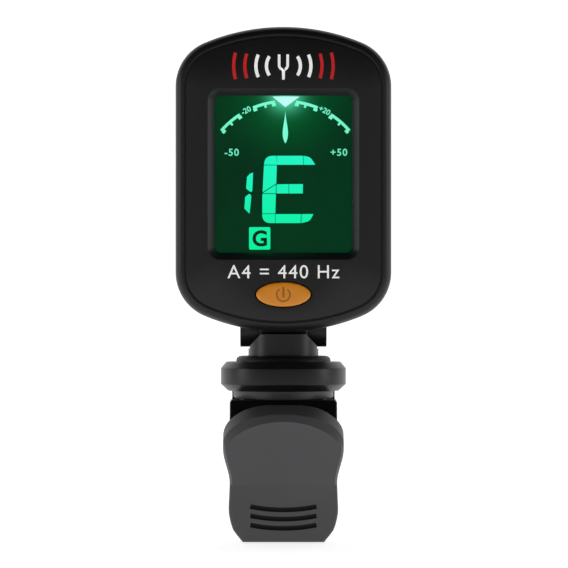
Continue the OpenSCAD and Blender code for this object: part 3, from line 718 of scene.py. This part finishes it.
def build_stem():
    low = HOUSE_Z + 1.4
    top = HOUSE_TOP + 0.3
    crown = TILT_Z - 0.65
    stem = lathe("stem_moulding", [(0, low), (5.75, low), (5.75, low + 1), (4.4, low + 1), (4.4, top),
                                   (STEM_R - 0.2, top), (STEM_R, top + 0.2), (STEM_R, crown), (0, crown)],
                 SWIVEL, "stem", clip_black, "clip_black")
    slope = [(STEM_R + 1, top + 1.2), (STEM_R + 0.02, top + 2.15), (3.9, crown), (3.9, crown + 2),
             (STEM_R + 1, crown + 2)]
    tools = [tool_solid("tool", *rings_mesh([[(s * x, y, z) for x, z in slope] for y in (0, 20)]))
             for s in (-1, 1)]
    behind = [(TILT_Y - 3.2, top + 1.95), (20, top + 1.95), (20, crown + 2), (TILT_Y - 3.2, crown + 2)]
    tools.append(cross_tool(behind, -8, 8))
    cut_with(stem, *tools)
    knuckle = [(TILT_Y + 0.9, top + 1.5)] + arc(TILT_Y, TILT_Z, EAR_R, -72, 200, 40) \
        + [(TILT_Y - 3.4, crown - 0.1), (TILT_Y - 3.4, top + 1.5)]
    tongue = cross_tool(knuckle, -3.9, 3.9)
    join_with(stem, tongue)
    cut_with(stem, cross_tool(arc(TILT_Y, TILT_Z, 1.05, 0, 350, 35), -8, 8))
    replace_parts(bevel(stem, 0.12, 2), "stem")


def build_swivel():
    lip = [(STEM_R + 0.1, 26), (8.15, 26), (8.15, 26.25), (8.05, 26.62), (7.75, 26.9), (7.4, 27),
           (7.1, 26.9), (6.8, 26.66), (6.5, 26.5), (STEM_R + 0.1, 26.5)]
    ring = lathe("dust_ring_seal", lip, SWIVEL, "clip", ring_rubber, "pad_rubber", angle=50)
    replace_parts(ring, "dust_ring")
    r = (house_high[0] - house_low[0]) / 2
    outline = [(6, HOUSE_Z), (r - 1.25, HOUSE_Z), (r, HOUSE_Z + 1.15), (r, HOUSE_TOP - 1.1),
               (r - 0.95, HOUSE_TOP), (4.45, HOUSE_TOP), (4.45, HOUSE_TOP - 1.1), (6, HOUSE_TOP - 1.1)]
    profile = soften(outline, [0, 0.12, 0.14, 0.14, 0.12, 0, 0, 0], 3)
    house = lathe("swivel_housing_cup", profile, SWIVEL, "clip", clip_black, "clip_black", 160)
    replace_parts(house, "swivel_housing")


build_stem()
build_swivel()


# ---- Clip body ----

BODY_HALF = body_high[0]
HUB_Z = HOUSE_Z - 1.5              # underside of the clip body's flange
BACK_Y = TILT_Y + 5
HALF_GAP = 2.2                     # from the grip's middle to each jaw behind its pad


def build_clip_body():
    side = [(HALF_GAP, -4.5), (3.4, -4.5), (4, -3.9), (6.6, 5.2), (BACK_Y, HUB_Z - 2.3),
            (BACK_Y, HUB_Z + 0.02), (1.6, HUB_Z + 0.02), (-0.6, 16), (-2.6, 14.4), (-2.9, 13),
            (-2.6, 11.4), (HALF_GAP, 6.2)]
    shell = cross_piece("clip_body_moulding", side, -BODY_HALF, BODY_HALF,
                        "clip", clip_black, "clip_black")
    corner = [(10, -6), (6.5, -6), (6.5, -4.5), (8.1, -2.6), (8.55, -1.4), (8.8, 0), (8.9, 1.6),
              (9.5, 3.4), (10, 3.4)]
    cut_with(shell, *[tool_solid("tool", *rings_mesh([[(s * x, y, z) for x, z in corner] for y in (-1, 9)]))
                      for s in (-1, 1)])
    bevel(shell, 0.45, 3, 50)
    hollow = [(-20, 5.5), (4.85, 5.5), (13.9, HUB_Z - 2.2), (13.9, HUB_Z - 1.6), (-20, HUB_Z - 1.6)]
    cut_with(shell, cross_tool(hollow, 1.6 - BODY_HALF, BODY_HALF - 1.6))
    flange = [(0, HUB_Z), (8.05, HUB_Z), (8.4, HUB_Z + 0.18), (8.65, HUB_Z + 0.6), (8.65, HOUSE_Z - 0.01),
              (5.9, HOUSE_Z - 0.01), (5.9, HOUSE_Z + 1.35), (0, HOUSE_Z + 1.35)]
    hub = lathe("hub_flange", flange, SWIVEL, "clip", hub_painted_light_grey, "clip_black", 128)
    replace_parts(hub, "clip_body")
    saddle = up_box((-8.85, SWIVEL_Y, HUB_Z), (8.85, BACK_Y - 0.05, HOUSE_Z - 0.02))
    join_with(shell, saddle)
    bores = [up_tool(7.2 * math.cos(a), SWIVEL_Y + 7.2 * math.sin(a), 1.25, HUB_Z - 6, HUB_Z + 0.8)
             for a in map(math.radians, (90, 210, 330))]
    cut_with(shell, cross_tool(arc(0, PIVOT_Z, 1.02, 0, 350, 35), -12, 12), *bores)
    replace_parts(bevel(shell, 0.12, 2, 50), "clip_body")


def up_box(low, high):
    """A block as a tool, from its lowest to its highest corner."""
    base = [(low[0], low[1]), (high[0], low[1]), (high[0], high[1]), (low[0], high[1])]
    return tool_solid("tool", *rings_mesh([[(x, y, z) for x, y in base] for z in (low[2], high[2])]))


build_clip_body()


# ---- Front lever ----

LEAN = math.radians(28)            # the paddle's lean from upright
JAW_SLOPE = 2.6 / 9.3              # how fast the jaw's face comes forward with height
CREASE_Y, CREASE_Z = -6.6, 5.2
TIP_Z = lever_low[2]
SLOT_R = 27                        # radius of the slots' curve


def half_width(z):
    """Half the lever's width at a height."""
    if z >= 11.6:
        return 10.2
    if z >= 5.6:
        return 9.1 + 0.55 * (1 - math.cos(math.pi * (z - 5.6) / 6))
    if z >= 1.2:
        return 9.3 - 0.2 * (z - 1.2) / 4.4
    if z >= -2.6:
        return 9.3 - 0.84 * ((1.2 - z) / 3.8) ** 1.8
    return 8.46 - (-2.6 - z) * 0.82


def mirrored(right):
    """A closed outline from its right half, which runs from the bottom to the top."""
    return right + [(-x, z) for x, z in reversed(right)]


def lean_back(outline, t):
    """Points (x, z) seen from the front, laid on the paddle's plane at depth t behind its face."""
    ring = []
    for x, z in outline:
        s = (z - CREASE_Z - t * math.sin(LEAN)) / math.cos(LEAN)
        ring.append((x, CREASE_Y - s * math.sin(LEAN) + t * math.cos(LEAN), z))
    return ring


def paddle_edge(z0, z1, top, flat, inset, power=1.0, steps=12):
    """The paddle's outline seen from the front: sides from z0 to z1, then a crown up to top."""
    heights = [z0 + (z1 - z0) * k / steps for k in range(steps)]
    sides = [(half_width(z) - inset, z) for z in heights]
    wide = half_width(z1) - inset - flat
    crown = [(flat + wide * math.cos(a), z1 + (top - z1) * math.sin(a) ** power)
             for a in [math.radians(90 * k / 20) for k in range(21)]]
    return mirrored(sides + crown)


def jaw_ring(inset, back, steps=10):
    """A ring round the jaw: at a depth behind its sloping face, or flat at its pad's seat."""
    heights = [TIP_Z + inset * 0.6]
    heights += [TIP_Z + 0.25 + (CREASE_Z - TIP_Z - 0.25) * k / steps for k in range(1, steps + 1)]
    ring = []
    for x, z in mirrored([(half_width(z) - inset, z) for z in heights]):
        face = -4 - (z + 4.1) * JAW_SLOPE
        ring.append((x, -HALF_GAP if back is None else face + back, z))
    return ring


def build_lever():
    face = [(0.5, 0), (0.36, 0.03), (0.2, 0.12), (0.06, 0.3), (0, 0.55)]
    jaw = [jaw_ring(i, d) for i, d in face] + [jaw_ring(0, None)]
    lever = add("front_lever_moulding", *rings_mesh(jaw), "lever", lever_grey, "lever_grey")
    z0 = CREASE_Z
    face_top, band_top, back_top = 16.2, 17.55, lever_high[2] - 0.03
    rings = [lean_back(paddle_edge(z0, 11.7, face_top, 0, 0.55, 1.35), 0),
             lean_back(paddle_edge(z0, 11.75, face_top + 0.07, 0, 0.42, 1.33), 0.03),
             lean_back(paddle_edge(z0, 12.3, band_top - 0.07, 0, 0.04, 1.05), 0.9),
             lean_back(paddle_edge(z0, 12.4, band_top, 0.3, 0, 1.0), 1),
             lean_back(paddle_edge(z0, 13.8, back_top - 0.05, 2.1, 0, 1.0), 3.8),
             lean_back(paddle_edge(z0, 13.9, back_top, 2.2, 0.2, 1.0), 4),
             lean_back(paddle_edge(z0 + 1, 13.9, back_top - 1.2, 2.2, 1.3, 1.0), 4),
             lean_back(paddle_edge(z0 + 1, 12.6, face_top + 0.1, 1, 1.5, 1.0), 1.6)]
    paddle = tool_solid("tool", *rings_mesh(rings))
    join_with(lever, paddle)
    for s in (-1, 1):
        lug = [(-6.6, 7.6), (-10, 14)] + arc(0, PIVOT_Z, 2.8, 100, -100, 24)
        join_with(lever, cross_tool(lug, s * 5.4, s * 7.2))
    lean = math.atan(JAW_SLOPE)
    slots, slot_shade_floors = [], []
    for k in range(3):
        stroke = strip_sign((0, SLOT_R - 4.25 - 1.65 * k), SLOT_R, 0.84, 258, 282, 14)
        rings = [[(x, CREASE_Y - u * math.sin(lean) - out * math.cos(lean),
                   CREASE_Z + u * math.cos(lean) - out * math.sin(lean)) for x, u in stroke]
                 for out in (-1.2, -0.45, 2.8)]
        slots.append(tool_solid("tool", *rings_mesh(rings[::2])))
        slot_shade_floors.append(rings[:2])
    bore = cross_tool(arc(0, PIVOT_Z, 1.05, 0, 350, 35), -12, 12)
    cut_with(lever, bore, *slots)
    # Dark rubber sheets on the slots' floors: painted shade that makes the shallow slots look deep.
    for k, rings in enumerate(slot_shade_floors):
        add("slot_painted_shade_%d" % (k + 1), *rings_mesh(rings), "lever", pad_rubber, "pad_rubber")
    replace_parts(bevel(lever, 0.07, 2, 40), "front_lever")


build_lever()


# ---- Head: rear case, ears, screws and battery door ----

# The rear case is painted a little darker than the front case: painted shade that deepens its hinge ears; the
# door and bay share it.
rear_shaded_black = moulded("rear_shaded_black", paint(20, 20, 21), 0.42)
SCREW_X, SCREW_UP = HEAD_W / 2 - 5.6, HEAD_H / 2 - 6.9
BACK_IN = HEAD_T - 1.5
DOOR_W = door_high[0] - door_low[0]
DOOR_H = 25
DOOR_FACE = HEAD_T - 1.2           # depth of the door's inner face


def disc_ring(x, up, r, depth, n=40):
    return [(x + a, FACE_Y + depth, HEAD_MID + up + b) for a, b in arc(0, 0, r, 0, 360 - 360 / n, n - 1)]


def build_rear_case():
    walls = [(1.8, BACK_IN), (1.8, JOINT_D), (0.14, JOINT_D + 0.03), (0.02, JOINT_D + 0.16),
             (0, JOINT_D + 0.3)]
    walls += [(1.9 * (1 - math.cos(t)), HEAD_T - 1.9 + 1.9 * math.sin(t))
              for t in [math.radians(a) for a in range(0, 91, 9)]]
    holes = [[flat_ring(round_rect(DOOR_W + g, DOOR_H + g, 1.5), d, DOOR_UP)
              for g, d in [(0.36, HEAD_T), (0.22, HEAD_T - 0.07), (0.2, DOOR_FACE), (-2.4, DOOR_FACE),
                           (-2.4, BACK_IN)]]]
    screw_walls = [(2.05, HEAD_T), (1.92, HEAD_T - 0.1), (1.9, HEAD_T - 2.4), (1.1, HEAD_T - 2.4), (1.1, 7.3),
                   (2.7, 7.3), (2.7, BACK_IN)]
    holes += [[disc_ring(x * SCREW_X, s * SCREW_UP, r, d) for r, d in screw_walls]
              for x in (-1, 1) for s in (-1, 1)]
    case = plate_with_holes("rear_case_shell", [head_ring(i, d) for i, d in walls], holes,
                            "head", rear_shaded_black)
    y_in, y_out = FACE_Y + JOINT_D + 0.1, FACE_Y + HEAD_T - 1
    arch = [(min(max(y, y_in), y_out), z) for y, z in arc(TILT_Y, TILT_Z, 4.4, 4, 176, 40)]
    wall = cross_tool([(y_out, TILT_Z + 0.2)] + arch[1:-1] + [(y_in, TILT_Z + 0.2)], -5.4, 5.4)
    ears = []
    for s in (-1, 1):
        side = [(TILT_Y + 1, TILT_Z + 3.2), (TILT_Y - EAR_R, TILT_Z + 3.2)]
        side += arc(TILT_Y, TILT_Z, EAR_R, 180, 345, 40)
        ears.append(cross_tool(side, s * EAR_IN, s * EAR_OUT))
    join_with(case, wall, *ears)
    cut_with(case, cross_tool(arc(TILT_Y, TILT_Z, 3.2, 0, 355, 71), -EAR_IN, EAR_IN),
             cross_tool(arc(TILT_Y, TILT_Z, 1.01, 0, 350, 35), -9, 9),
             depth_tool(oval(4.4, 4.4), HEAD_T - 0.7, HEAD_T + 1, DOOR_UP + DOOR_H / 2 + 1.2))
    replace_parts(bevel(case, 0.14, 2, 50), "rear_case")


def build_bay():
    """Ring wall of the battery's bay, seen when the door is open."""
    r = 10.3
    profile = [(r, 7.5), (r, BACK_IN), (r + 1.1, BACK_IN), (r + 1.1, 7.5)]
    rings = [disc_ring(0, DOOR_UP, a, d, 96) for a, d in profile + profile[:1]]
    bay = add("battery_bay", *rings_mesh(rings, close_ends=False), "head", rear_shaded_black, "case_black")
    cut_with(bay, depth_tool(round_rect(5, 3, 0.2), 7, 10.7, DOOR_UP + 11))


def build_door():
    edge = [(0.2, DOOR_FACE), (0, DOOR_FACE + 0.1), (0, HEAD_T - 0.3), (0.12, HEAD_T - 0.09), (0.5, HEAD_T)]
    rings = [flat_ring(round_rect(DOOR_W - i, DOOR_H - i, 1.4), d, DOOR_UP) for i, d in edge]
    door = add("battery_cover", *rings_mesh(rings), "door", rear_shaded_black, "case_black")
    tabs = [depth_tool(round_rect(3, 1.8, 0.3), DOOR_FACE, DOOR_FACE + 0.5, DOOR_UP - DOOR_H / 2 + 0.1, x)
            for x in (-6.5, 6.5)]
    join_with(door, *tabs)
    grooves = [depth_tool(strip_sign((0, -16), 22.5 + 1.3 * k, 0.5, 90 - 13, 90 + 13, 14),
                          HEAD_T - 0.35, HEAD_T + 1, DOOR_UP + 2.6) for k in range(4)]
    arrow = [(-1.3, 0.6), (0, -1.3), (1.3, 0.6), (0.65, 0.6), (0, -0.35), (-0.65, 0.6)]
    grooves.append(depth_tool(arrow, HEAD_T - 0.25, HEAD_T + 1, DOOR_UP + 1.6))
    ring = [strip_sign((0, 0), 4.4, 0.4, a + 5, a + 85, 16) for a in (0, 90, 180, 270)]
    grooves += [depth_tool(o, HEAD_T - 0.18, HEAD_T + 1, DOOR_UP - 5) for o in ring]
    cut_with(door, *grooves)
    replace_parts(bevel(door, 0.05, 2, 45), "battery_door")


def build_case_screws():
    """Pan heads with cross recesses in the four deep holes."""
    for k, (x, s) in enumerate([(-1, -1), (-1, 1), (1, -1), (1, 1)]):
        far = FACE_Y + HEAD_T - 1.2
        crown = [(0, far), (0.9, far - 0.03), (1.35, far - 0.16), (1.62, far - 0.42), (1.7, far - 0.7),
                 (1.7, far - 1.2), (1, far - 1.2), (1, FACE_Y + 3.2), (0.6, FACE_Y + 2.8), (0, FACE_Y + 2.8)]
        at = (x * SCREW_X, 0, HEAD_MID + s * SCREW_UP)
        screw = turned("case_screw_%d" % (k + 1), crown, at, "Y", "head", steel, "steel")
        bars = [depth_tool([(a * w, b * h) for a, b in ((-1, -1), (1, -1), (1, 1), (-1, 1))],
                           HEAD_T - 1.75, HEAD_T, s * SCREW_UP, x * SCREW_X)
                for w, h in ((0.95, 0.17), (0.17, 0.95))]
        cut_with(screw, *bars)
        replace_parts(screw, "case_screws")


build_rear_case()
build_bay()
build_door()
build_case_screws()


# ---- Pads, pins and spring ----

def build_pad(name, node, body, side):
    """A ribbed rubber pad; side is 1 for the rear jaw and -1 for the front one."""
    low, high = span(node)
    back, grip = (high[1], low[1]) if side > 0 else (low[1], high[1])
    ribs = 7
    pitch = (high[2] - low[2] - 0.4) / ribs
    outline = [(back, low[2]), (back, high[2]), (grip + side * 0.3, high[2])]
    for k in range(ribs):
        top = high[2] - 0.2 - k * pitch
        outline += [(grip, top - 0.12), (grip, top - pitch + 0.42), (grip + side * 0.32, top - pitch + 0.3),
                    (grip + side * 0.32, top - pitch + 0.06)]
    outline.append((grip + side * 0.3, low[2]))
    pad = cross_piece(name, outline, low[0], high[0], body, pad_rubber, "pad_rubber")
    corners = []
    for s in (-1, 1):
        inner, outer = s * (high[0] - 1.4), s * (high[0] + 1)
        wedge = [(inner, low[2] - 1), (inner, low[2]), (s * high[0], -2.4), (outer, -2.4),
                 (outer, low[2] - 1)]
        corners.append(tool_solid("tool", *rings_mesh([[(x, y, z) for x, z in wedge] for y in (-4, 4)])))
    cut_with(pad, *corners)
    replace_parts(bevel(pad, 0.06, 2, 40), node)


def build_pins():
    for name, node, at, half in (("pivot_rod", "pivot_pin", (0, 0, PIVOT_Z), pin_high[0]),
                                 ("tilt_rod", "tilt_pin", (0, TILT_Y, TILT_Z), span("tilt_pin")[1][0])):
        body = "clip" if node == "pivot_pin" else "head"
        profile = [(0, -half), (0.6, -half + 0.03), (0.88, -half + 0.12), (1, -half + 0.32)]
        profile += [(r, -x) for r, x in reversed(profile)]
        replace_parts(turned(name, profile, at, "X", body, steel, "steel"), node)


def build_spring():
    """Torsion spring: one leg behind the paddle, six turns, one leg in the clip body."""
    low, high = span("torsion_spring")
    wire, turns, coil_r = 0.4, 6, 2.3
    half = 0.86 * turns / 2
    front_leg, rear_leg = (low[1] + 0.25, leg_height(low[1])), (high[1] - 0.25, leg_height(high[1]))
    a0 = meet(front_leg, coil_r)
    a1 = meet(rear_leg, coil_r) - math.tau * turns
    steps = 40 * turns
    coil = [(-half + 2 * half * k / steps, coil_r * math.cos(a0 + (a1 - a0) * k / steps),
             PIVOT_Z + coil_r * math.sin(a0 + (a1 - a0) * k / steps)) for k in range(steps + 1)]
    lead = [tuple(Vector((-half, *front_leg)).lerp(Vector(coil[0]), k / 5)) for k in range(5)]
    tail = [tuple(Vector(coil[-1]).lerp(Vector((half, *rear_leg)), k / 5)) for k in range(1, 6)]
    path = lead + coil + tail
    rings = []
    for k, p in enumerate(path):
        along = Vector(path[min(k + 1, len(path) - 1)]) - Vector(path[max(k - 1, 0)])
        across = Vector((1, 0, 0)).cross(along).normalized()
        up = along.cross(across).normalized()
        rings.append([tuple(Vector(p) + wire * (math.cos(a) * across + math.sin(a) * up))
                      for a in [math.tau * j / 12 for j in range(12)]])
    spring = add("spring_wire", *rings_mesh(rings), None, steel, "steel")
    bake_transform(spring)
    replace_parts(spring, "torsion_spring")


def leg_height(y):
    """Height of a spring leg's end: behind the paddle in front, and in the clip body behind."""
    return 13.63 if y < 0 else 14.4


def meet(end, r):
    """Angle at which a line from a leg's end touches the top of the coil."""
    y, z = end[0], end[1] - PIVOT_Z
    return math.atan2(z, y) + (-1 if y < 0 else 1) * math.acos(r / math.hypot(y, z))


build_pad("front_grip", "front_pad", "lever", -1)
build_pad("rear_grip", "rear_pad", "clip", 1)
build_pins()
build_spring()


# ---- Finishes of the inner pieces, whose solids stay as they are ----

def board_finish():
    m = Finish("board_green", Roughness=0.35, IOR=1.5)
    weave = m.noise(900, 2, 0.5, (1, 1, 0.2))
    m.set(Base_Color=m.mix(m.noise(500, 1), paint(14, 84, 48), paint(24, 112, 62)),
          Normal=m.bump(weave, 0.00001, 0.5))
    return m.material


def cell_finish():
    """Nickel plate with fine turned rings about the cell's middle."""
    m = Finish("cell_plate", Metallic=1.0)
    x, up = m.axis("X") * (1 / MM), m.axis("Z") * (1 / MM) - (HEAD_MID + DOOR_UP)
    r = (x * x + up * up) ** 0.5
    rings = (r * 9 + m.noise(90, 2)).op("SINE")
    m.set(Base_Color=m.mix(m.noise(200, 3), paint(176, 178, 180), paint(206, 207, 208)),
          Roughness=0.24 + 0.05 * rings, Normal=m.bump(rings, 0.000005, 0.5))
    return m.material


def striped(name, light, dark, pitch):
    """Layered elastomer: thin stripes across the strip."""
    m = Finish(name, Roughness=0.6)
    m.set(Base_Color=m.mix(((m.axis("X") * (1 / MM / pitch)).op("SINE") * 4 + 0.5).clamp(), light, dark))
    return m.material


def dress(material, *nodes):
    """Gives CAD nodes a finish and a fine edge."""
    for node in nodes:
        solid = frame["nodes"][node]
        solid.data.materials.clear()
        solid.data.materials.append(material)
        weld = solid.modifiers.new("weld", "WELD")
        weld.merge_threshold = 1e-6
        edge = solid.modifiers.new("edge", "BEVEL")
        edge.width, edge.segments = 0.04 * MM, 2
        edge.limit_method, edge.angle_limit = "ANGLE", math.radians(50)


nickel = metal("nickel", paint(196, 197, 198), 0.22)
white_nylon = moulded("white_nylon", paint(226, 225, 218), 0.45)
dress(moulded("frame_white", paint(222, 222, 214), 0.4), "lcd_frame")
dress(moulded("light_guide", paint(214, 228, 216), 0.25), "backlight_panel")
dress(moulded("led_resin", paint(226, 214, 120), 0.3), "backlight_leds")
dress(striped("zebra", paint(206, 160, 168), paint(40, 34, 36), 0.035), "zebra_strip")
dress(board_finish(), "circuit_board")
dress(moulded("epoxy_black", paint(18, 18, 18), 0.22), "controller_blob")
dress(moulded("chip_body", paint(96, 78, 56), 0.4), "board_components")
dress(nickel, "crystal", "contact_positive", "contact_negative")
dress(steel, "tact_switch", "spring_washer", "hub_screws")
dress(white_nylon, "switch_plunger", "hinge_washers")
dress(cell_finish(), "battery")
dress(metal("brass", paint(206, 176, 96), 0.28), "piezo_sensor")
dress(moulded("wire_red", paint(176, 28, 26), 0.4), "piezo_wires")


# ---- Camera, light and floor ----

def add_camera():
    lens_data = bpy.data.cameras.new("camera")
    lens_data.sensor_width, lens_data.lens = 36, 278.4
    lens_data.clip_start, lens_data.clip_end = 0.01, 20
    camera = bpy.data.objects.new("camera", lens_data)
    bpy.context.collection.objects.link(camera)
    camera.location = (0.0001, -0.75, 0.0394)
    camera.rotation_euler = (math.radians(90), 0, 0)
    bpy.context.scene.camera = camera


def soft_light(name, place, aim, size, power, colour=(1, 1, 1)):
    panel = bpy.data.lights.new(name, "AREA")
    panel.shape, panel.size, panel.size_y = "RECTANGLE", size[0], size[1]
    panel.energy, panel.color = power, colour
    light = bpy.data.objects.new(name, panel)
    bpy.context.collection.objects.link(light)
    light.location = place
    light.rotation_euler = (Vector(aim) - Vector(place)).to_track_quat("-Z", "Y").to_euler()
    light.visible_camera = False


def add_floor():
    """A pale sweep: flat floor that curves up into a wall behind the object."""
    foot = -4.6
    route = [(-1500, foot)] + arc(500, foot + 400, 400, -90, 0, 10) + [(900, 1800)]
    verts = [(x, y, z) for y, z in route for x in (-1800, 1800)]
    faces = [(2 * k, 2 * k + 1, 2 * k + 3, 2 * k + 2) for k in range(len(route) - 1)]
    mesh = bpy.data.meshes.new("floor")
    mesh.from_pydata([(x * MM, y * MM, z * MM) for x, y, z in verts], [], faces)
    for poly in mesh.polygons:
        poly.use_smooth = True
    m = Finish("floor_paper", Roughness=0.9, Emission_Strength=0.8)
    m.set(Base_Color=m.mix(m.noise(4, 2), (0.8, 0.8, 0.8), (0.84, 0.84, 0.84)), Emission_Color=(1, 1, 1))
    mesh.materials.append(m.material)
    floor = bpy.data.objects.new("floor", mesh)
    bpy.context.collection.objects.link(floor)


class Studio(Finish):
    """The surroundings, with the same way of making nodes as a finish."""

    def __init__(self, world):
        world.use_nodes = True
        self.tree = world.node_tree
        self.main = self.tree.nodes["Background"]


def add_world():
    """Dim overhead, brighter towards the horizon and the sides."""
    world = bpy.data.worlds.new("studio")
    studio = Studio(world)
    around = studio.node("ShaderNodeTexCoord", {}, {}, "Generated")
    up = studio.node("ShaderNodeSeparateXYZ", {}, {0: around}, "Z")
    side = studio.node("ShaderNodeSeparateXYZ", {}, {0: around}, "X").op("ABSOLUTE")
    low = (1 - (up * 2.6 + 0.1)).clamp()
    glow = (0.01 + low * 0.24 + ((side - 0.45) * 1.6).clamp() * 0.12).clamp()
    studio.set(Color=studio.mix(glow, (0, 0, 0), (1, 1, 1)), Strength=1.0)
    bpy.context.scene.world = world


add_camera()
add_world()
add_floor()
soft_light("left_panel", (-0.75, -0.1, 0.1), (0, 0, 0.04), (0.2, 0.3), 0.7)
soft_light("right_panel", (0.75, -0.1, 0.1), (0, 0, 0.04), (0.2, 0.3), 0.7)
bpy.context.scene.view_settings.view_transform = "Standard"
